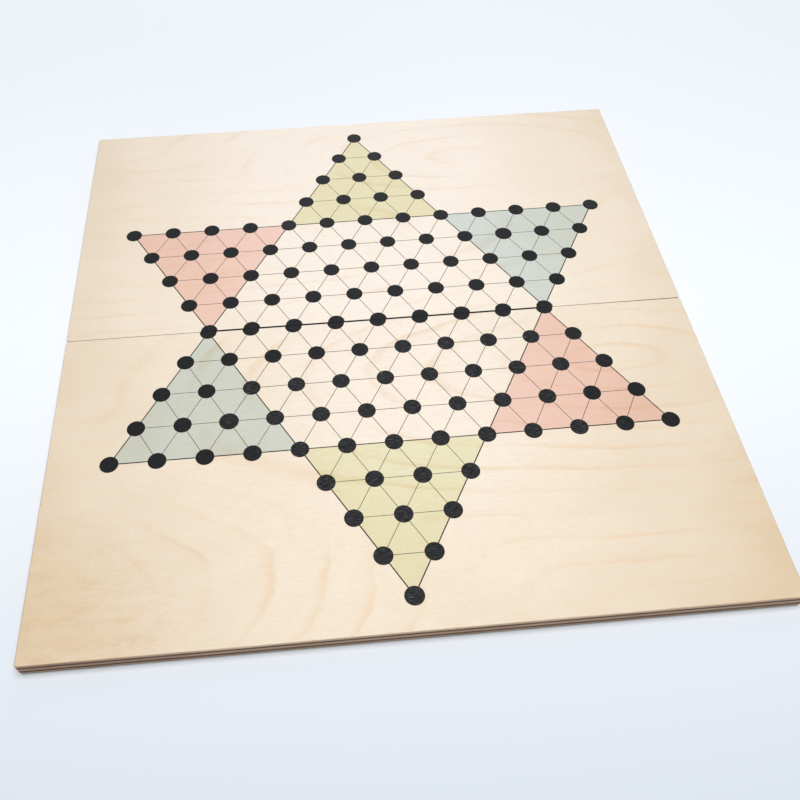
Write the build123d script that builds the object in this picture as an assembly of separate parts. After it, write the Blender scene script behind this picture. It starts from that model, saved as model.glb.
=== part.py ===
"""Folding star halma board: two plywood leaves, a printed star of 121 dots, two butt hinges below.

X runs along the seam, Y to the rear and Z up, in millimetres. The origin is on the table, under
the middle of the seam. The board lies open and stands on four felt pads.
"""

import os
from math import atan2, degrees, sqrt

from build123d import *

# Board
BOARD_WIDTH = 300.0
LEAF_DEPTH = 156.5
SEAM_GAP = 0.2
OUTER_CORNER_RADIUS = 1.0
SEAM_CORNER_RADIUS = 1.8
TOP_ARRIS_RADIUS = 0.6
BOTTOM_ARRIS_RADIUS = 0.5

# Plies, from the underside up, with their thickness
PLIES = (
    ("back_veneer", 1.1),
    ("lower_crossband", 1.5),
    ("core_ply", 1.6),
    ("upper_crossband", 1.5),
    ("face_veneer", 1.3),
)
BOARD_THICKNESS = sum(thickness for _, thickness in PLIES)

# Felt pads, one near each outer corner
PAD_RADIUS = 6.0
PAD_THICKNESS = 1.7
PAD_INSET = 12.0

UNDERSIDE = PAD_THICKNESS
TOP = UNDERSIDE + BOARD_THICKNESS

# Printed star: dots on a triangular lattice, eight rows each side of the seam row
PITCH = 20.5
ROW_STEP = PITCH * sqrt(3) / 2
LAST_ROW = 8
SHOULDER_ROW = 4
SEAM_DOTS = 9
DOT_RADIUS = 4.05
# Two dots, opposite each other, are a little larger than the rest
LARGE_DOT_RADIUS = 4.4
LARGE_DOT_ROW = 3
LARGE_DOT_X = 3.5
THIN_LINE = 0.25
BOLD_LINE = 0.5
SEAM_LINE = 0.38
INK_THICKNESS = 0.05
# The two halves were printed apart and don't quite meet: each is set off by this much
PRINT_OFFSET = {-1: (-0.2, -0.35), 1: (0.25, 0.35)}
# The whole print sits a little askew on the board, in degrees
PRINT_TURN = 0.15

# Hinges: butt hinges let into the underside, with the pin just below it
HINGE_X = 95.0
HINGE_LENGTH = 25.0
HINGE_REACH = 10.0
PLATE_THICKNESS = 0.8
PLATE_CORNER_RADIUS = 1.0
PIN_DROP = 0.15
PIN_RADIUS = 0.65
PIN_DOME = 0.25
KNUCKLE_RADIUS = 1.4
KNUCKLES = 5
KNUCKLE_GAP = 0.1
FIXED_BORE_CLEARANCE = 0.01
RUNNING_CLEARANCE = 0.06
POCKET_CLEARANCE = 0.15
BARREL_CLEARANCE = 0.2

# Countersunk wood screws, two in each hinge plate
SCREW_SPACING = 14.0
SCREW_Y = 6.2
SCREW_LENGTH = 4.7
SCREW_TIP = 1.0
SHANK_RADIUS = 0.9
HEAD_RADIUS = 1.7
SLOT_WIDTH = 0.45
SLOT_DEPTH = 0.35
SCREW_CLEARANCE = 0.03
# How far round the slots of a plate's two screws have come to rest, in degrees
SLOT_TURNS = {-1: (20.0, 90.0), 1: (50.0, 120.0)}

SIDES = {"front": -1, "rear": 1}
HINGES = {"left": -HINGE_X, "right": HINGE_X}
# Colours of the side arms: opposite arms of the star match
SIDE_ARMS = {-1: ("grey", "pink"), 1: ("pink", "grey")}

AXIS_HEIGHT = UNDERSIDE - PIN_DROP


def slab(x_size, y_from, y_to, z_from, z_to):
    """A block centred on X, between two Y values and two heights."""
    corner = (0, (y_from + y_to) / 2, (z_from + z_to) / 2)
    return Pos(corner) * Box(x_size, abs(y_to - y_from), z_to - z_from)


def along_x(radius, length, x, y=0.0, z=AXIS_HEIGHT):
    """A cylinder that lies along the seam."""
    return Pos(x, y, z) * Rot(0, 90, 0) * Cylinder(radius, length)


# The leaves


def leaf_sheet(side):
    """One leaf at full thickness, rounded at its outer edges and square along the seam."""
    seam = side * SEAM_GAP / 2
    outer = side * (SEAM_GAP / 2 + LEAF_DEPTH)
    overlap = -side * 2 * OUTER_CORNER_RADIUS

    blank = slab(BOARD_WIDTH, seam + overlap, outer, UNDERSIDE, TOP)
    uprights = blank.edges().filter_by(Axis.Z).sort_by(Axis.Y)
    blank = fillet(uprights[-2:] if side > 0 else uprights[:2], OUTER_CORNER_RADIUS)
    blank = fillet(blank.faces().sort_by(Axis.Z)[-1].edges(), TOP_ARRIS_RADIUS)
    blank = fillet(blank.faces().sort_by(Axis.Z)[0].edges(), BOTTOM_ARRIS_RADIUS)

    trim = slab(BOARD_WIDTH, seam, outer, UNDERSIDE, TOP)
    uprights = trim.edges().filter_by(Axis.Z).sort_by(Axis.Y)
    trim = fillet(uprights[:2] if side > 0 else uprights[-2:], SEAM_CORNER_RADIUS)
    return blank & trim


def hinge_cutout(side, x):
    """What a leaf loses for one hinge: the plate's pocket, the barrel's groove, the screw holes."""
    pocket = plate_blank(side, x, POCKET_CLEARANCE)
    groove = along_x(KNUCKLE_RADIUS + BARREL_CLEARANCE, HINGE_LENGTH + 2 * POCKET_CLEARANCE, x)
    holes = [screw_body(side, at, SCREW_CLEARANCE) for at in screw_places(x)]
    return [pocket, groove, *holes]


def plies(name, side):
    """The five plies of one leaf, each a slice of the same sheet."""
    sheet = leaf_sheet(side)
    for x in HINGES.values():
        sheet -= hinge_cutout(side, x)
    made = {}
    bottom = UNDERSIDE
    for ply, thickness in PLIES:
        layer = slab(2 * BOARD_WIDTH, side * -1, side * 2 * LEAF_DEPTH, bottom, bottom + thickness)
        made[f"{name}_{ply}"] = sheet & layer
        bottom += thickness
    return made


def pads(name, side):
    """The two felt pads of one leaf."""
    y = side * (SEAM_GAP / 2 + LEAF_DEPTH - PAD_INSET)
    made = {}
    for hand, sign in (("left", -1), ("right", 1)):
        x = sign * (BOARD_WIDTH / 2 - PAD_INSET)
        made[f"{name}_{hand}_pad"] = Pos(x, y, PAD_THICKNESS / 2) * Cylinder(PAD_RADIUS, PAD_THICKNESS)
    return made


# The printed star


def row_dots(row):
    """Lattice X values of the dots in a row, in pitches. Row 0 is the seam and row 8 the tip."""
    count = SEAM_DOTS + row if row <= SHOULDER_ROW else SEAM_DOTS - row
    return [k - (count - 1) / 2 for k in range(count)]


def lattice_point(side, x, row):
    """A lattice position on the board, with the print offset of its leaf."""
    shift_x, shift_y = PRINT_OFFSET[side]
    straight = Vector(x * PITCH + shift_x, side * row * ROW_STEP + shift_y)
    return straight.rotate(Axis.Z, PRINT_TURN)


def on_outline(x, row):
    """The sides of the two large triangles that this lattice point lies on."""
    inner = abs(x) == (LAST_ROW - row) / 2
    outer = abs(x) == LAST_ROW / 2 + row / 2
    return {name for name, found in (("inner", inner), ("outer", outer)) if found}


def lattice_links():
    """Every line between neighbouring dots of one leaf, and whether it is a bold one."""
    links = []
    for row in range(LAST_ROW + 1):
        dots = row_dots(row)
        if row > 0:
            bold = row == SHOULDER_ROW
            links += [((x, row), (x + 1, row), bold) for x in dots[:-1]]
        if row < LAST_ROW:
            above = row_dots(row + 1)
            for x in dots:
                for to in (x - 0.5, x + 0.5):
                    if to in above:
                        bold = bool(on_outline(x, row) & on_outline(to, row + 1))
                        links.append(((x, row), (to, row + 1), bold))
    return links


def printed_line(start, end, width):
    """A straight printed line between two points."""
    run = end - start
    heading = degrees(atan2(run.Y, run.X))
    return Pos((start + end) / 2) * Rot(0, 0, heading) * Rectangle(run.length, width)


def dot_radius(side, x, row):
    """The radius of the dot at a lattice position."""
    large = row == LARGE_DOT_ROW and x == side * LARGE_DOT_X
    return LARGE_DOT_RADIUS if large else DOT_RADIUS


def black_artwork(side):
    """Dots and lines of one leaf, cut off at the seam."""
    shapes = []
    for row in range(LAST_ROW + 1):
        for x in row_dots(row):
            shapes.append(Pos(lattice_point(side, x, row)) * Circle(dot_radius(side, x, row)))
    for start, end, bold in lattice_links():
        ends = (lattice_point(side, *start), lattice_point(side, *end))
        shapes.append(printed_line(*ends, BOLD_LINE if bold else THIN_LINE))

    seam = side * SEAM_GAP / 2
    seam_y = seam + side * SEAM_LINE / 2
    half = SEAM_DOTS // 2
    seam_ends = [Vector(lattice_point(side, x, 0).X, seam_y) for x in (-half, half)]
    shapes.append(printed_line(*seam_ends, SEAM_LINE))

    sheet = Pos(0, seam + side * LEAF_DEPTH / 2) * Rectangle(BOARD_WIDTH, LEAF_DEPTH)
    return (Sketch() + shapes) & sheet


def arm(side, corners):
    """One arm of the star, as a plain triangle between three lattice points."""
    return make_face(Polyline(*[lattice_point(side, x, row) for x, row in corners], close=True))


def ink(artwork):
    """Flat artwork as a layer of ink on the top face."""
    return extrude(Pos(0, 0, TOP) * artwork, INK_THICKNESS)


def prints(name, side):
    """The inks of one leaf. The coloured ones fill the cells that the black lines leave."""
    black = black_artwork(side)
    waist = LAST_ROW / 2
    shoulder = (LAST_ROW - SHOULDER_ROW) / 2
    tip = arm(side, ((0, LAST_ROW), (-shoulder, SHOULDER_ROW), (shoulder, SHOULDER_ROW)))
    made = {f"{name}_black_print": ink(black), f"{name}_yellow_print": ink(tip - black)}
    for sign, colour in zip((-1, 1), SIDE_ARMS[side]):
        corners = (
            (sign * waist, 0),
            (sign * shoulder, SHOULDER_ROW),
            (sign * (waist + shoulder), SHOULDER_ROW),
        )
        made[f"{name}_{colour}_print"] = ink(arm(side, corners) - black)
    return made


# The hinges


def plate_blank(side, x, clearance=0.0):
    """A hinge plate without its knuckles, or with a clearance, the pocket that takes it."""
    length = HINGE_LENGTH + 2 * clearance
    reach = HINGE_REACH + clearance
    centre = (x, side * reach / 2, UNDERSIDE + PLATE_THICKNESS / 2)
    plate = Pos(centre) * Box(length, reach, PLATE_THICKNESS)
    uprights = plate.edges().filter_by(Axis.Z).sort_by(Axis.Y)
    return fillet(uprights[-2:] if side > 0 else uprights[:2], PLATE_CORNER_RADIUS)


def knuckle_spans(x, side):
    """Start and end of each knuckle along X. The front plate has the first, third and fifth."""
    step = HINGE_LENGTH / KNUCKLES
    first = 0 if side < 0 else 1
    starts = [x - HINGE_LENGTH / 2 + k * step for k in range(first, KNUCKLES, 2)]
    return [(start + KNUCKLE_GAP / 2, start + step - KNUCKLE_GAP / 2) for start in starts]


def span_cylinder(radius, span):
    """A cylinder on the hinge axis between two X values."""
    return along_x(radius, span[1] - span[0], (span[0] + span[1]) / 2)


def hinge_plate(side, x):
    """One plate of a butt hinge, with its knuckles and countersunk holes."""
    plate = plate_blank(side, x)
    for span in knuckle_spans(x, -side):
        wider = (span[0] - KNUCKLE_GAP, span[1] + KNUCKLE_GAP)
        plate -= span_cylinder(KNUCKLE_RADIUS + BARREL_CLEARANCE, wider)
    for span in knuckle_spans(x, side):
        plate += span_cylinder(KNUCKLE_RADIUS, span)
    clearance = FIXED_BORE_CLEARANCE if side < 0 else RUNNING_CLEARANCE
    plate -= along_x(PIN_RADIUS + clearance, HINGE_LENGTH + 1, x)
    for at in screw_places(x):
        plate -= screw_body(side, at, SCREW_CLEARANCE)
    return plate


def hinge_pin(x):
    """The hinge pin, with slightly domed ends. It is fixed in the front plate's knuckles."""
    pin = along_x(PIN_RADIUS, HINGE_LENGTH, x)
    return fillet(pin.edges().filter_by(GeomType.CIRCLE), PIN_DOME)


def screw_places(x):
    """X of the two screws in a hinge plate."""
    return (x - SCREW_SPACING / 2, x + SCREW_SPACING / 2)


def screw_body(side, x, clearance=0.0):
    """A countersunk screw without its slot, or with a clearance, the hole that it needs."""
    head = HEAD_RADIUS + clearance
    shank = SHANK_RADIUS + clearance
    straight = SCREW_LENGTH - SCREW_TIP
    profile = Polyline(
        (0, 0),
        (head, 0),
        (shank, PLATE_THICKNESS),
        (shank, straight),
        (0, SCREW_LENGTH + clearance),
        close=True,
    )
    body = revolve(make_face(Plane.XZ * profile), Axis.Z)
    return Pos(x, side * SCREW_Y, UNDERSIDE) * body


def screws(side, x):
    """The two screws of one hinge plate, each with a slot turned its own way."""
    made = []
    for at, turn in zip(screw_places(x), SLOT_TURNS[side]):
        slot = Box(3 * HEAD_RADIUS, SLOT_WIDTH, 2 * SLOT_DEPTH)
        slot = Pos(at, side * SCREW_Y, UNDERSIDE) * Rot(0, 0, turn) * slot
        made.append(screw_body(side, at) - slot)
    return Compound(children=made)


def board():
    """Every piece of the board by its node's name."""
    nodes = {}
    for name, side in SIDES.items():
        nodes |= plies(name, side)
        nodes |= prints(name, side)
        nodes |= pads(name, side)
    for hand, x in HINGES.items():
        for name, side in SIDES.items():
            nodes[f"{hand}_hinge_{name}_plate"] = hinge_plate(side, x)
            nodes[f"{hand}_hinge_{name}_screws"] = screws(side, x)
        nodes[f"{hand}_hinge_pin"] = hinge_pin(x)
    return nodes


os.makedirs("parts", exist_ok=True)
for node, shape in board().items():
    export_step(shape, f"parts/{node}.step")

# The fold ends where the pads of the two leaves would meet, edge to edge
pad_edge = SEAM_GAP / 2 + LEAF_DEPTH - PAD_INSET - PAD_RADIUS
print("pads meet at", 180 - 2 * degrees(atan2(PAD_THICKNESS - PIN_DROP, pad_edge)), "degrees")
print("board size", BOARD_WIDTH, 2 * LEAF_DEPTH + SEAM_GAP, TOP + INK_THICKNESS)
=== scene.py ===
import random
from math import cos, pi, radians, sin

import bmesh
import bpy
from mathutils import Euler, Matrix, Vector
from mathutils import noise as solid_noise

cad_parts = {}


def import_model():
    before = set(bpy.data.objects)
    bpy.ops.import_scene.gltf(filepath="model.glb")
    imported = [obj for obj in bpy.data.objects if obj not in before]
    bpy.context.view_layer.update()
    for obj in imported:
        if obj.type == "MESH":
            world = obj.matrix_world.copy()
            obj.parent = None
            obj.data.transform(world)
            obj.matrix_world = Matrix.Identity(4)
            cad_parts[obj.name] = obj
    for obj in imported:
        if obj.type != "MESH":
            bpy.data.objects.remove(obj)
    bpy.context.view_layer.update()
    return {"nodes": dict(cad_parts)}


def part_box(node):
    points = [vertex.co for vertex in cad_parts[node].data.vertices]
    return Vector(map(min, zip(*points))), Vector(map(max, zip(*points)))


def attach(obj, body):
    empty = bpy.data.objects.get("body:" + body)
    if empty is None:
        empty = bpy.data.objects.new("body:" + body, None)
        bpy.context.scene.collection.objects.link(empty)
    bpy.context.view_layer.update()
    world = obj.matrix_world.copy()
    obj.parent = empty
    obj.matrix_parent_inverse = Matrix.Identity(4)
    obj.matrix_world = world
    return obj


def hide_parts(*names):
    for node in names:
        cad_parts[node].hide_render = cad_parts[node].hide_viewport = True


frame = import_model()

MM = 0.001
SIDES = ("front", "rear")
HANDS = ("left", "right")

# Camera, fitted to the lattice of dots, the corners and the front edge
CAMERA_PLACE = (-28.34, -275.29, 321.3)
CAMERA_TURN = (37.798, 0.65, -4.947)
LENS = 38.533
SENSOR_WIDTH = 36.0
SHIFT = (0.0482, -0.0312)


def srgb(red, green, blue):
    """A colour given in 0 to 255 as it looks on screen, in the linear values that shaders use."""
    return tuple(
        c / 12.92 if c <= 0.04045 else ((c + 0.055) / 1.055) ** 2.4
        for c in (red / 255, green / 255, blue / 255)
    ) + (1.0,)


class Graph:
    """A material with one Principled shader, and short calls for the nodes that lead to it."""

    def __init__(self, name, **sockets):
        self.material = bpy.data.materials.new(name)
        self.material.use_nodes = True
        self.tree = self.material.node_tree
        self.tree.nodes.clear()
        self.shader = self.tree.nodes.new("ShaderNodeBsdfPrincipled")
        output = self.tree.nodes.new("ShaderNodeOutputMaterial")
        self.tree.links.new(self.shader.outputs[0], output.inputs["Surface"])
        self.set(**sockets)
        coordinates = self.tree.nodes.new("ShaderNodeTexCoord").outputs
        self.normal = coordinates["Normal"]
        self.mm = self.vector("MULTIPLY", coordinates["Object"], (1 / MM, 1 / MM, 1 / MM))

    def put(self, socket, value):
        """Links a node's output to a socket, or sets the socket's own value."""
        if isinstance(value, bpy.types.NodeSocket):
            self.tree.links.new(value, socket)
        else:
            socket.default_value = value

    def set(self, **sockets):
        """Sets sockets of the shader, by their names with _ for a space."""
        for name, value in sockets.items():
            self.put(self.shader.inputs[name.replace("_", " ")], value)

    def node(self, kind, inputs, output=0, **settings):
        made = self.tree.nodes.new("ShaderNode" + kind)
        for name, value in settings.items():
            setattr(made, name, value)
        for key, value in inputs.items():
            self.put(made.inputs[key], value)
        return made.outputs[output]

    def math(self, operation, a, b=0.0, c=0.0):
        return self.node("Math", {0: a, 1: b, 2: c}, operation=operation)

    def vector(self, operation, a, b=(0, 0, 0)):
        output = "Value" if operation == "LENGTH" else "Vector"
        return self.node("VectorMath", {0: a, 1: b}, output, operation=operation)

    def along(self, axis, vector=None):
        """One coordinate of a vector, or else of the place in mm."""
        return self.node("SeparateXYZ", {0: self.mm if vector is None else vector}, axis)

    def distance(self, x, y):
        """Distance in mm from a point at the level of the table."""
        return self.vector("LENGTH", self.vector("ADD", self.mm, (-x, -y, 0.0)))

    def noise(self, scales, offset=(0, 0, 0), detail=2.0, roughness=0.5, output="Fac"):
        """A noise of the place, moved by offset in mm, that repeats scales times per mm."""
        moved = self.vector("ADD", self.mm, offset)
        inputs = {
            "Vector": self.vector("MULTIPLY", moved, scales),
            "Scale": 1.0,
            "Detail": detail,
            "Roughness": roughness,
        }
        return self.node("TexNoise", inputs, output)

    def band(self, value, low, high, to_low=0.0, to_high=1.0):
        """A smooth step from to_low to to_high as the value goes from low to high."""
        inputs = {0: value, 1: low, 2: high, 3: to_low, 4: to_high}
        return self.node("MapRange", inputs, interpolation_type="SMOOTHSTEP")

    def mix(self, factor, a, b, blend="MIX"):
        inputs = {0: factor, 6: a, 7: b}
        return self.node("Mix", inputs, 2, data_type="RGBA", blend_type=blend)

    def bump(self, height, distance_mm, strength=1.0):
        inputs = {"Height": height, "Distance": distance_mm * MM, "Strength": strength}
        self.set(Normal=self.node("Bump", inputs))


def link(name, data):
    made = bpy.data.objects.new(name, data)
    bpy.context.scene.collection.objects.link(made)
    return made


# Wood

# Where the growth rings close on each leaf's face: centre in mm, how many times longer than wide
FIGURE = {
    "front": (((-165.0, -128.0), 2.1), ((112.0, -34.0), 2.9)),
    "rear": (((62.0, 121.0), 2.6), ((-120.0, 64.0), 5.0)),
}

# How plainly the rings show on each leaf
STRENGTH = {"front": 0.72, "rear": 0.5}

# Distance between two rings in mm, measured across the grain
FACE_SPACING = 10.5
BACK_SPACING = 13.0
# How far the rings drift along X and Y, how softly two figures merge and how far rings wobble, in mm
RING_DRIFT = (44.0, 15.0, 0.0)
RING_MERGE = 14.0
RING_WOBBLE = 3.4
# How far the wood turns to its ring colour just before a ring, and on the line of the ring itself
SLOW_SHADE = 0.08
LINE_SHADE = 0.42

# How much of its colour each fine pattern lays over the wood, where it is strongest
WOOD_FIBRE_COVER = 0.12
MOTTLE_COVER = 0.26
STREAK_COVER = 0.34
GRAIN_COVER = 0.3
SANDING_COVER = 0.10
PORE_COVER = 0.42

# Four tones of bare birch with painted light on them, from a painted glow at the board's brightest place
# out to painted shade at its corners
FACE_TONES = (srgb(250, 241, 229), srgb(241, 229, 211), srgb(232, 218, 198), srgb(217, 197, 168))
BACK_TONES = (srgb(232, 214, 186), srgb(228, 208, 178), srgb(222, 198, 164), srgb(214, 188, 152))
FACE_RING = srgb(227, 192, 149)
BACK_RING = srgb(196, 156, 112)
STREAK_TONE = srgb(200, 158, 108)
PORE_TONE = srgb(170, 116, 72)

# The sawn edges of the plies, along the grain and across it, the painted shade on the face veneer's
# arris and along the seam, and the scorch of the saw
FACE_EDGE = (srgb(228, 198, 164), srgb(186, 154, 124))
CROSS_EDGE = (srgb(196, 166, 136), srgb(124, 88, 64))
CORE_EDGE = (srgb(206, 180, 154), srgb(178, 146, 116))
# the back veneer's sawn edge is darker than the face and core: painted shade near the table
BACK_EDGE_SHADED = (srgb(196, 166, 132), srgb(146, 108, 78))
END_PORE_SHARE = 0.42
# painted shade on the face veneer's arris
ARRIS_SHADE_TONE = srgb(124, 80, 52)
# painted shade along the seam gap
SEAM_SHADE_TONE = srgb(140, 104, 72)
SCORCH_TONE = srgb(96, 50, 26)

# Where the painted glow on the board is brightest, and how far from there the tones run along X and
# along Y, in mm
GLOW_CENTRE = (4.0, 105.0)
GLOW_REACH = (143, 270)
# How far out each tone is reached, as a share of that
TONE_STOPS = (0.35, 0.85, 1.1, 1.4)
# A second painted glow in front of the seam, and the corner where the wood is streaked and porous
FRONT_GLOW = (12.0, -62.0)
STREAKED_CORNER = (-135.0, -150.0)

# Half the length of the printed line along the seam, and half its width, in mm
SEAM_PRINT_REACH = 85.0
SEAM_PRINT_HALF = 0.3
SEAM_PRINT_TONE = srgb(22, 21, 21)


def growth_rings(g, eyes, spacing):
    """The rings of a rotary cut veneer: 0 just after a ring, rising to 1 at the next one."""
    drift = g.noise((0.008, 0.013, 0.0), roughness=0.4, output="Color")
    drift = g.vector("SUBTRACT", drift, (0.5, 0.5, 0.5))
    place = g.vector("ADD", g.mm, g.vector("MULTIPLY", drift, RING_DRIFT))
    field = None
    for (x, y), stretch in eyes:
        from_eye = g.vector("SUBTRACT", place, (x, y, 0.0))
        flat = g.vector("MULTIPLY", from_eye, (1 / stretch, 1.0, 0.0))
        reach = g.vector("LENGTH", flat)
        field = reach if field is None else g.math("SMOOTH_MIN", field, reach, RING_MERGE)
    wobble = g.noise((0.05, 0.14, 0.0), (31.0, 7.0, 0.0), detail=4.0, roughness=0.6)
    field = g.math("MULTIPLY_ADD", wobble, RING_WOBBLE, field)
    return g.math("FRACT", g.math("DIVIDE", field, spacing))


def ramp(g, value, *stops):
    """A colour that runs smoothly through several stops, each a value and a colour."""
    (low, colour), *others = stops
    for high, high_colour in others:
        colour = g.mix(g.band(value, low, high), colour, high_colour)
        low = high
    return colour


def tone_and_painted_glow(g, tones):
    """The colour of the wood with painted light: a painted glow behind the seam and just in front of it,
    darkening to painted shade towards the corners.
    """
    cloud = g.noise((0.012, 0.022, 0.0), (9.0, 50.0, 0.0), detail=3.0, roughness=0.6)
    from_glow = g.vector("ADD", g.mm, (-GLOW_CENTRE[0], -GLOW_CENTRE[1], 0.0))
    shares = (1 / GLOW_REACH[0], 1 / GLOW_REACH[1], 0.0)
    out = g.vector("LENGTH", g.vector("MULTIPLY", from_glow, shares))
    out = g.math("ADD", out, g.band(cloud, 0.25, 0.75, -0.08, 0.08))
    colour = ramp(g, out, *zip(TONE_STOPS, tones))
    return g.mix(g.band(g.distance(*FRONT_GLOW), 75.0, 15.0, 0.0, 0.8), colour, tones[0])


def ring_shade(g, eyes, spacing, strength):
    """How far the rings darken the wood: slowly up to each ring, with a line along it."""
    saw = growth_rings(g, eyes, spacing)
    presence = g.noise((0.014, 0.03, 0.0), (80.0, 3.0, 0.0))
    slow = g.math("MULTIPLY", g.band(saw, 0.2, 0.9), SLOW_SHADE * strength)
    line = g.math("MULTIPLY", g.band(saw, 0.72, 0.91), g.band(saw, 1.0, 0.93))
    shade = g.math("MULTIPLY_ADD", line, LINE_SHADE * strength, slow)
    return g.math("MULTIPLY", shade, g.band(presence, 0.40, 0.66, 0.1, 1.0))


def corner_streaks(g):
    """Soft warm streaks near the front left corner."""
    streak = g.noise((0.08, 0.2, 0.0), (2.0, 33.0, 0.0), detail=5.0, roughness=0.75)
    near = g.band(g.distance(*STREAKED_CORNER), 75.0, 15.0, 0.0, STREAK_COVER)
    return g.math("MULTIPLY", g.band(streak, 0.42, 0.74), near)


def sanding(g):
    """Faint marks across the grain, in some places only."""
    marks = g.noise((2.4, 0.12, 0.0), (5.0, 8.0, 0.0), roughness=0.6)
    places = g.noise((0.016, 0.02, 0.0), (20.0, 90.0, 0.0))
    return g.math("MULTIPLY", g.band(marks, 0.42, 0.66, 0.0, SANDING_COVER), g.band(places, 0.45, 0.62))


def pores(g):
    """Short fine dashes along the grain, mostly near the front left corner."""
    dashes = g.noise((0.4, 3.4, 0.0), (3.0, 5.0, 0.0), detail=1.0)
    places = g.noise((0.03, 0.06, 0.0), (40.0, 4.0, 0.0))
    places = g.math("ADD", places, g.band(g.distance(*STREAKED_CORNER), 95.0, 10.0, 0.0, 0.25))
    shown = g.math("MULTIPLY", g.band(dashes, 0.66, 0.78), g.band(places, 0.48, 0.68))
    return g.math("MULTIPLY", shown, PORE_COVER)


def birch_fibre(g):
    """Long fine fibres along X."""
    return g.noise((0.05, 1.3, 0.0), detail=4.0, roughness=0.62)


def birch(g, eyes, spacing, tones, ring, strength=1.0):
    """The colour of a birch face, with growth rings, fibres along X and pores."""
    mottle = g.noise((0.16, 0.6, 0.0), (6.0, 1.0, 0.0), detail=5.0, roughness=0.75)
    grain = g.noise((0.55, 2.3, 0.0), (11.0, 2.0, 0.0), detail=3.0, roughness=0.75)
    # a painted glow in the middle and painted shade towards the corners, under the rings and fibres
    colour = tone_and_painted_glow(g, tones)
    colour = g.mix(ring_shade(g, eyes, spacing, strength), colour, ring)
    colour = g.mix(g.band(birch_fibre(g), 0.45, 0.75, 0.0, WOOD_FIBRE_COVER * strength), colour, ring)
    colour = g.mix(g.band(mottle, 0.38, 0.7, 0.0, MOTTLE_COVER * strength), colour, ring)
    colour = g.mix(corner_streaks(g), colour, STREAK_TONE)
    colour = g.mix(g.band(grain, 0.3, 0.7, 0.0, GRAIN_COVER * strength), colour, ring)
    colour = g.mix(sanding(g), colour, ring)
    return g.mix(pores(g), colour, PORE_TONE)


def edge_colour(g, grain, tones):
    """A ply's sawn edge, with grain along X or Y: fibres on two sides, end grain on the other two."""
    long_tone, end_tone = tones
    across = g.along(grain, g.vector("ABSOLUTE", g.normal))
    streaks = g.noise((0.06, 0.06, 5.0), detail=3.0, roughness=0.6)
    long_grain = g.mix(g.band(streaks, 0.35, 0.7), long_tone, end_tone)
    open_pores = g.noise((1.6, 1.6, 1.2), detail=4.0, roughness=0.7)
    dark = tuple(END_PORE_SHARE * c for c in end_tone[:3]) + (1.0,)
    end_grain = g.mix(g.band(open_pores, 0.35, 0.7), end_tone, dark)
    return g.mix(g.band(across, 0.4, 0.75), long_grain, end_grain)


def face_birch(g, side):
    """The wood of a leaf's face, with its painted glow and painted shade."""
    return birch(g, FIGURE[side], FACE_SPACING, FACE_TONES, FACE_RING, STRENGTH[side])


def face_material(side):
    """A face veneer, with painted shade on its arris, most at the left, painted shade along the seam at
    the right, and the line printed there.
    """
    g = Graph(f"birch_face_{side}", Roughness=0.42, Specular_IOR_Level=0.22)
    x = g.along("X")
    from_seam = g.math("ABSOLUTE", g.along("Y"))
    # painted shade on the face veneer's arris and sawn edge, strongest at the left and weaker at the
    # right
    arris_shade = g.math("MAXIMUM", g.band(x, -60.0, -140.0, 0.0, 0.55), g.band(x, 100.0, 148.0, 0.0, 0.2))
    edge = g.mix(arris_shade, edge_colour(g, "X", FACE_EDGE), ARRIS_SHADE_TONE)
    upward = g.band(g.along("Z", g.normal), 0.6, 0.985)
    colour = g.mix(upward, edge, face_birch(g, side))
    # painted shade in the gap along the seam, most at the right
    seam_shade = g.math("MULTIPLY", g.band(x, 80.0, 150.0, 0.2, 0.8), g.band(from_seam, 0.45, 0.15))
    colour = g.mix(seam_shade, colour, SEAM_SHADE_TONE)
    along_print = g.band(g.math("ABSOLUTE", x), SEAM_PRINT_REACH + 1.0, SEAM_PRINT_REACH)
    across_print = g.band(from_seam, 2 * SEAM_PRINT_HALF, SEAM_PRINT_HALF)
    printed = g.math("MULTIPLY", along_print, across_print)
    g.set(Base_Color=g.mix(printed, colour, SEAM_PRINT_TONE))
    g.bump(birch_fibre(g), 0.02, 0.35)
    return g.material


def ply_material(name, grain, tones, scorch):
    """The edge of an inner ply, scorched by the saw in places and most at the left."""
    g = Graph(name, Roughness=0.62, Specular_IOR_Level=0.2)
    patches = g.noise((0.05, 0.05, 0.35), detail=3.0, roughness=0.6)
    scorched = g.math("ADD", patches, g.band(g.along("X"), -50.0, -140.0, 0.0, 0.3))
    scorched = g.band(scorched, 0.56, 0.72, 0.0, scorch)
    g.set(Base_Color=g.mix(scorched, edge_colour(g, grain, tones), SCORCH_TONE))
    g.bump(g.noise((1.4, 1.4, 3.0), detail=4.0, roughness=0.7), 0.12, 0.6)
    return g.material


def back_material(side):
    """The underside, duller than the face, with its rings in other places."""
    g = Graph(f"birch_back_{side}", Roughness=0.6, Specular_IOR_Level=0.3)
    eyes = tuple(((-x, -y * 0.4 + 30.0), stretch) for (x, y), stretch in FIGURE[side])
    colour = birch(g, eyes, BACK_SPACING, BACK_TONES, BACK_RING)
    downward = g.band(g.along("Z", g.normal), -0.35, -0.9)
    # the underside's sawn edge is in painted shade
    g.set(Base_Color=g.mix(downward, edge_colour(g, "X", BACK_EDGE_SHADED), colour))
    g.bump(birch_fibre(g), 0.04, 0.5)
    return g.material


# Print

# The black ink, the paler scratches in it and the place where they show most, in mm
INK_TONE = srgb(24, 24, 25)
SCRATCH_TONE = srgb(88, 87, 88)
SCRATCH_CENTRE = (15.0, -85.0)

# How each ink colours the wood under it; the yellow is laid on more thickly at the rear
TINTS = {
    "front": {
        "yellow": (0.86, 0.90, 0.71, 1.0),
        "pink": (0.93, 0.73, 0.72, 1.0),
        "grey": (0.69, 0.815, 0.87, 1.0),
    },
    "rear": {
        "yellow": (0.845, 0.86, 0.65, 1.0),
        "pink": (0.93, 0.72, 0.70, 1.0),
        "grey": (0.69, 0.815, 0.87, 1.0),
    },
}


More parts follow.
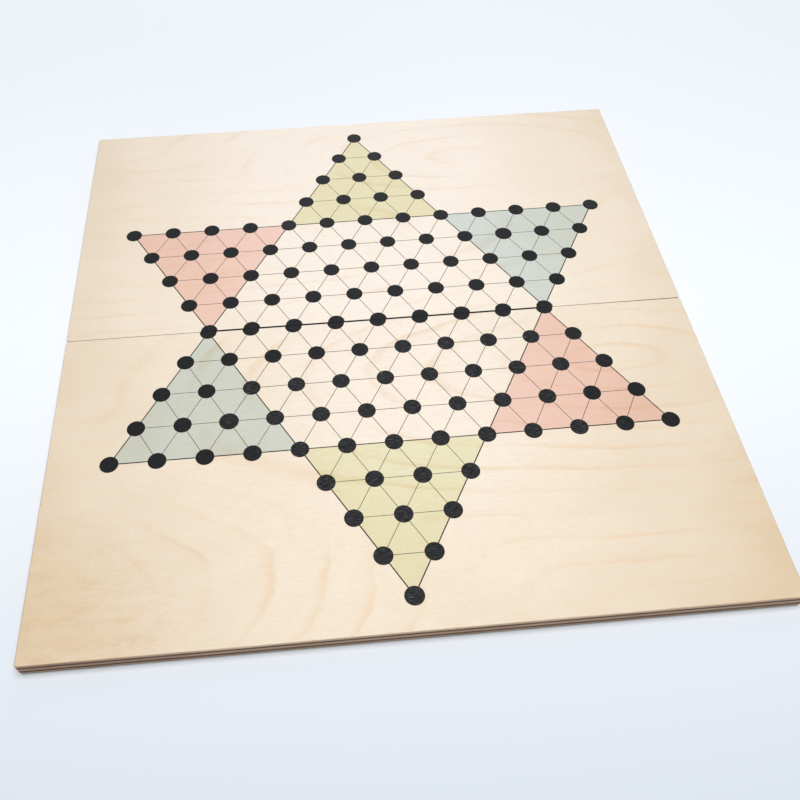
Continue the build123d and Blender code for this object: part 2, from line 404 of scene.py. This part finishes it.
def black_ink():
    """Near black, with the wood's fibres just showing as paler scratches along the grain."""
    g = Graph("black_ink", Specular_IOR_Level=0.12)
    fibre = g.noise((0.34, 2.9, 0.0), detail=4.0, roughness=0.8)
    # the paler scratches show more towards the front middle
    scratch_cover = g.noise((0.012, 0.016, 0.0), (50.0, 20.0, 0.0), detail=1.0)
    scratch_cover = g.math("ADD", scratch_cover, g.band(g.distance(*SCRATCH_CENTRE), 110.0, 40.0, -0.08, 0.24))
    scratch = g.math("MULTIPLY", g.band(fibre, 0.5, 0.66), g.band(scratch_cover, 0.42, 0.68, 0.1, 1.0))
    g.set(Base_Color=g.mix(scratch, INK_TONE, SCRATCH_TONE))
    g.set(Roughness=g.band(fibre, 0.3, 0.7, 0.25, 0.44))
    g.bump(fibre, 0.02, 0.35)
    return g.material


def colour_ink(name, side, tint):
    """A thin pastel ink: the leaf's own wood shows through it."""
    g = Graph(name, Roughness=0.46, Specular_IOR_Level=0.22)
    g.set(Base_Color=g.mix(1.0, face_birch(g, side), tint, "MULTIPLY"))
    g.bump(birch_fibre(g), 0.02, 0.3)
    return g.material


# Metal and felt

# The colour of each metal where it is clean and where it is tarnished, and its least roughness
METALS = {
    "hinge_brass": (srgb(212, 170, 96), srgb(172, 132, 70), 0.3),
    "screw_brass": (srgb(232, 200, 136), srgb(196, 156, 92), 0.2),
    "pin_steel": (srgb(176, 174, 170), srgb(128, 124, 120), 0.32),
}
FELT_TONES = (srgb(62, 66, 60), srgb(104, 108, 98))

# A pad's disc: points around it, and each ring's distance from the middle and height as shares
AROUND = 120
DISC_RINGS = (
    (0.3, 0.0), (0.6, 0.0), (0.8, 0.0), (0.92, 0.0),
    (0.97, 0.06), (0.985, 0.2), (0.99, 0.45), (0.985, 0.7), (0.975, 0.88), (0.94, 0.97),
    (0.85, 1.0), (0.5, 1.0),
)
# Rings beyond this share of the radius are ragged: size and depth of the rags in mm, and the
# share of the radius that they may stand out
RIM_SHARE = 0.9
RAGS = ((0.7, 0.16), (2.5, 0.14))
RAG_LIMIT = 0.008

# The loose fibres of a pad: how many, how long, how far they lean out and how thick, in mm
FIBRES = 700
FIBRE_LENGTH = (0.3, 0.8)
FIBRE_LEAN = 0.22
FIBRE_STEPS = (0.0, 0.35, 0.7, 1.0)
FIBRE_THICKNESS = (0.014, 0.013, 0.010, 0.004)
# Where on the pad they start and how far they may rise, as shares of its radius and height
FIBRE_ROOT = 0.975
FIBRE_LEVEL = (0.12, 0.9)
FIBRE_RISE = (-0.25, 0.25)
FIBRE_LIMITS = (0.06, 0.94)


def metal_material(name):
    """Drawn or rolled metal with cloudy tarnish."""
    clean, tarnished, roughness = METALS[name]
    g = Graph(name, Metallic=1.0)
    cloud = g.noise((0.22, 0.3, 0.3), detail=5.0, roughness=0.6)
    drawn = g.noise((0.4, 7.0, 7.0))
    tarnish = g.math("MULTIPLY_ADD", drawn, 0.35, g.band(cloud, 0.35, 0.8, 0.0, 0.65))
    g.set(Base_Color=g.mix(tarnish, clean, tarnished))
    g.set(Roughness=g.band(cloud, 0.3, 0.7, roughness, roughness + 0.16))
    g.bump(drawn, 0.015, 0.4)
    return g.material


def felt_material():
    g = Graph("felt", Roughness=0.95, Specular_IOR_Level=0.1, Sheen_Weight=0.4, Sheen_Roughness=0.5)
    fluff = g.noise((1.8, 1.8, 1.8), detail=5.0, roughness=0.75)
    g.set(Base_Color=g.mix(g.band(fluff, 0.35, 0.65), *FELT_TONES))
    g.bump(fluff, 0.3, 0.8)
    return g.material


def upwards(height):
    return Vector((0.0, 0.0, height))


def disc_point(centre, radius, height, share, level, turn):
    """A point of a felt disc, moved a little where the disc is ragged or dented."""
    out = Vector((cos(turn), sin(turn), 0.0))
    spot = centre + out * share * radius + upwards(level * height)
    ragged = sum(solid_noise.noise(spot / (size * MM)) * depth * MM for size, depth in RAGS)
    if share > RIM_SHARE:
        spot += out * min(ragged, RAG_LIMIT * radius)
    if level == 0.0:
        spot += upwards(abs(ragged) / 2)
    return spot


def felt_body(centre, radius, height):
    """The points and faces of a die cut disc of pressed felt, from its foot to its top."""
    points = [centre.copy()]
    for share, level in DISC_RINGS:
        for k in range(AROUND):
            points.append(disc_point(centre, radius, height, share, level, 2 * pi * k / AROUND))
    points.append(centre + upwards(height))
    last = len(points) - 1
    top = last - AROUND
    faces = [(0, 1 + (k + 1) % AROUND, 1 + k) for k in range(AROUND)]
    for a in range(1, top, AROUND):
        b = a + AROUND
        faces += [(a + k, a + (k + 1) % AROUND, b + (k + 1) % AROUND, b + k) for k in range(AROUND)]
    faces += [(top + k, top + (k + 1) % AROUND, last) for k in range(AROUND)]
    return points, faces


def fibre_line(rng, centre, radius, height):
    """The way out from the pad where a loose fibre starts, and the places along the fibre."""
    turn = rng.uniform(0, 2 * pi)
    level = rng.uniform(*FIBRE_LEVEL) * height
    out = Vector((cos(turn), sin(turn), 0.0))
    along = Vector((-sin(turn), cos(turn), 0.0)) * rng.choice((-1, 1))
    length = rng.uniform(*FIBRE_LENGTH) * MM
    rise = rng.uniform(*FIBRE_RISE) * height
    root = centre + out * radius * FIBRE_ROOT
    lowest, highest = (share * height for share in FIBRE_LIMITS)
    line = []
    for t in FIBRE_STEPS:
        lean = out * sin(t * 2.2) * FIBRE_LEAN * MM + along * length * t
        line.append(root + lean + upwards(min(max(level + rise * t, lowest), highest)))
    return out, line


def fibre_tube(out, line, start):
    """A closed three sided tube along a fibre, whose first point has the number start."""
    points = []
    for spot, thick in zip(line, FIBRE_THICKNESS):
        aside = out * thick * MM
        points += [spot + upwards(thick * MM), spot + aside, spot - aside]
    faces = []
    for a in range(start, start + len(points) - 3, 3):
        faces += [(a + k, a + (k + 1) % 3, a + 3 + (k + 1) % 3, a + 3 + k) for k in range(3)]
    end = start + len(points)
    faces += [(start, start + 2, start + 1), (end - 3, end - 2, end - 1)]
    return points, faces


def felt_mesh(name, points, faces, material):
    """A smooth mesh whose faces all look outwards."""
    mesh = bpy.data.meshes.new(name)
    mesh.from_pydata(points, [], faces)
    outward = bmesh.new()
    outward.from_mesh(mesh)
    bmesh.ops.recalc_face_normals(outward, faces=outward.faces)
    outward.to_mesh(mesh)
    outward.free()
    mesh.polygons.foreach_set("use_smooth", [True] * len(mesh.polygons))
    mesh.materials.append(material)
    return mesh


def felt_disc(node, body, seed, material):
    """Replaces a pad by a disc of pressed felt, with a slightly ragged rim and loose fibres round it."""
    low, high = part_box(node)
    centre = Vector(((low.x + high.x) / 2, (low.y + high.y) / 2, low.z))
    radius = (high.x - low.x) / 2
    height = high.z - low.z
    rng = random.Random(seed)
    points, faces = felt_body(centre, radius, height)
    for _ in range(FIBRES):
        out, line = fibre_line(rng, centre, radius, height)
        more_points, more_faces = fibre_tube(out, line, len(points))
        points += more_points
        faces += more_faces
    disc = link(f"{node}_felt", felt_mesh(f"{node}_felt", points, faces, material))
    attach(disc, body)
    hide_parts(node)


# The parts and their materials


def dress(node, material):
    """Gives a CAD node one material."""
    mesh = frame["nodes"][node].data
    mesh.materials.clear()
    mesh.materials.append(material)


cross_ply = ply_material("crossband", "Y", CROSS_EDGE, scorch=0.75)
core_ply = ply_material("core_ply", "X", CORE_EDGE, scorch=0.25)
black = black_ink()
brass = metal_material("hinge_brass")
screw_brass = metal_material("screw_brass")
pin_steel = metal_material("pin_steel")
felt = felt_material()

for side in SIDES:
    dress(f"{side}_face_veneer", face_material(side))
    dress(f"{side}_upper_crossband", cross_ply)
    dress(f"{side}_core_ply", core_ply)
    dress(f"{side}_lower_crossband", cross_ply)
    dress(f"{side}_back_veneer", back_material(side))
    dress(f"{side}_black_print", black)
    for colour, tint in TINTS[side].items():
        dress(f"{side}_{colour}_print", colour_ink(f"{colour}_ink_{side}", side, tint))
    for hand in HANDS:
        felt_disc(f"{side}_{hand}_pad", f"{side}_leaf", len(side) + len(hand), felt)
        dress(f"{hand}_hinge_{side}_plate", brass)
        dress(f"{hand}_hinge_{side}_screws", screw_brass)
for hand in HANDS:
    dress(f"{hand}_hinge_pin", pin_steel)


# Floor, light and camera

SURROUND = srgb(242, 248, 255)
BLACK = (0.0, 0.0, 0.0, 1.0)
# the near tone is painted shade in front of the board and the far tone painted light behind it
FLOOR_NEAR_SHADE = (srgb(206, 213, 223), srgb(210, 217, 227))
FLOOR_FAR_LIGHT = (srgb(245, 249, 254), srgb(249, 253, 255))
# Half the floor's width, in metres
FLOOR_HALF = 4.0
# Distances behind the seam, in mm, between which the floor turns from its near tone to its far tone: a
# painted fall-off of the light, darker in front
NEAR_TO_FAR = (-305.0, 30.0)
# Distances from the board's middle, in mm, between which it fades into the surround
FADE_ASIDE = (230.0, 520.0)
FADE_BEHIND = (150.0, 480.0)
FADE_IN_FRONT = (-360.0, -650.0)


def seen_directly(nodes, links):
    """1 for what the camera sees, directly, mirrored in gloss or through glass, and 0 otherwise."""
    path = nodes.new("ShaderNodeLightPath")
    seen = path.outputs["Is Camera Ray"]
    for ray in ("Is Glossy Ray", "Is Transmission Ray"):
        either = nodes.new("ShaderNodeMath")
        either.operation = "MAXIMUM"
        links.new(seen, either.inputs[0])
        links.new(path.outputs[ray], either.inputs[1])
        seen = either.outputs[0]
    return seen


def floor_material():
    """A pale tabletop with painted shade in front and painted light behind, that fades into the surround
    far from the board.
    """
    g = Graph("floor", Roughness=0.7, Specular_IOR_Level=0.0, Emission_Color=SURROUND)
    depth = g.along("Y")
    aside = g.math("ABSOLUTE", g.along("X"))
    tone = g.band(g.noise((0.002, 0.002, 0.0), detail=1.0), 0.3, 0.7)
    near = g.mix(tone, *FLOOR_NEAR_SHADE)
    far = g.mix(tone, *FLOOR_FAR_LIGHT)
    # painted fall-off of the light from front to back
    colour = g.mix(g.band(depth, *NEAR_TO_FAR), near, far)
    far_off = g.math("MAXIMUM", g.band(aside, *FADE_ASIDE), g.band(depth, *FADE_BEHIND))
    far_off = g.math("MAXIMUM", far_off, g.band(depth, *FADE_IN_FRONT))
    far_off = g.math("MULTIPLY", far_off, seen_directly(g.tree.nodes, g.tree.links))
    g.set(Base_Color=g.mix(far_off, colour, BLACK), Emission_Strength=far_off)
    return g.material


def floor():
    mesh = bpy.data.meshes.new("floor")
    half = FLOOR_HALF
    corners = [(-half, -half, 0), (half, -half, 0), (half, half, 0), (-half, half, 0)]
    mesh.from_pydata(corners, [], [(0, 1, 2, 3)])
    mesh.materials.append(floor_material())
    link("floor", mesh)


def lamp(name, place, aim, size, power, colour):
    """A rectangular lamp, with places and size in metres."""
    light = bpy.data.lights.new(name, "AREA")
    light.shape = "RECTANGLE"
    light.size, light.size_y = size
    light.energy = power
    light.color = colour
    made = link(name, light)
    made.location = place
    made.rotation_euler = (Vector(aim) - Vector(place)).to_track_quat("-Z", "Y").to_euler()


def world(colour, strength):
    """Dim all round light, against a pale surround for the camera and for reflections."""
    made = bpy.data.worlds.new("studio")
    made.use_nodes = True
    nodes, links = made.node_tree.nodes, made.node_tree.links
    dim = nodes["Background"]
    dim.inputs["Color"].default_value = colour
    dim.inputs["Strength"].default_value = strength
    bright = nodes.new("ShaderNodeBackground")
    bright.inputs["Color"].default_value = SURROUND
    choice = nodes.new("ShaderNodeMixShader")
    links.new(seen_directly(nodes, links), choice.inputs[0])
    links.new(dim.outputs[0], choice.inputs[1])
    links.new(bright.outputs[0], choice.inputs[2])
    links.new(choice.outputs[0], nodes["World Output"].inputs["Surface"])
    bpy.context.scene.world = made


def camera():
    data = bpy.data.cameras.new("camera")
    data.lens = LENS
    data.sensor_width = SENSOR_WIDTH
    data.shift_x, data.shift_y = SHIFT
    data.clip_start = 0.01
    made = link("camera", data)
    made.location = Vector(CAMERA_PLACE) * MM
    made.rotation_euler = Euler([radians(a) for a in CAMERA_TURN], "XYZ")
    bpy.context.scene.camera = made


floor()
world(colour=(0.93, 0.96, 1.0, 1.0), strength=0.15)
lamp(
    "softbox",
    place=(0.05, -0.23, 1.4),
    aim=(0.05, -0.23, 0),
    size=(1.0, 0.8),
    power=20.2,
    colour=(0.985, 0.99, 1.0),
)
lamp(
    "rear_panel",
    place=(0.1, 1.15, 0.95),
    aim=(0.03, 0, 0),
    size=(0.5, 1.0),
    power=1.6,
    colour=(0.9, 0.95, 1.0),
)
camera()
bpy.context.scene.view_settings.view_transform = "Standard"
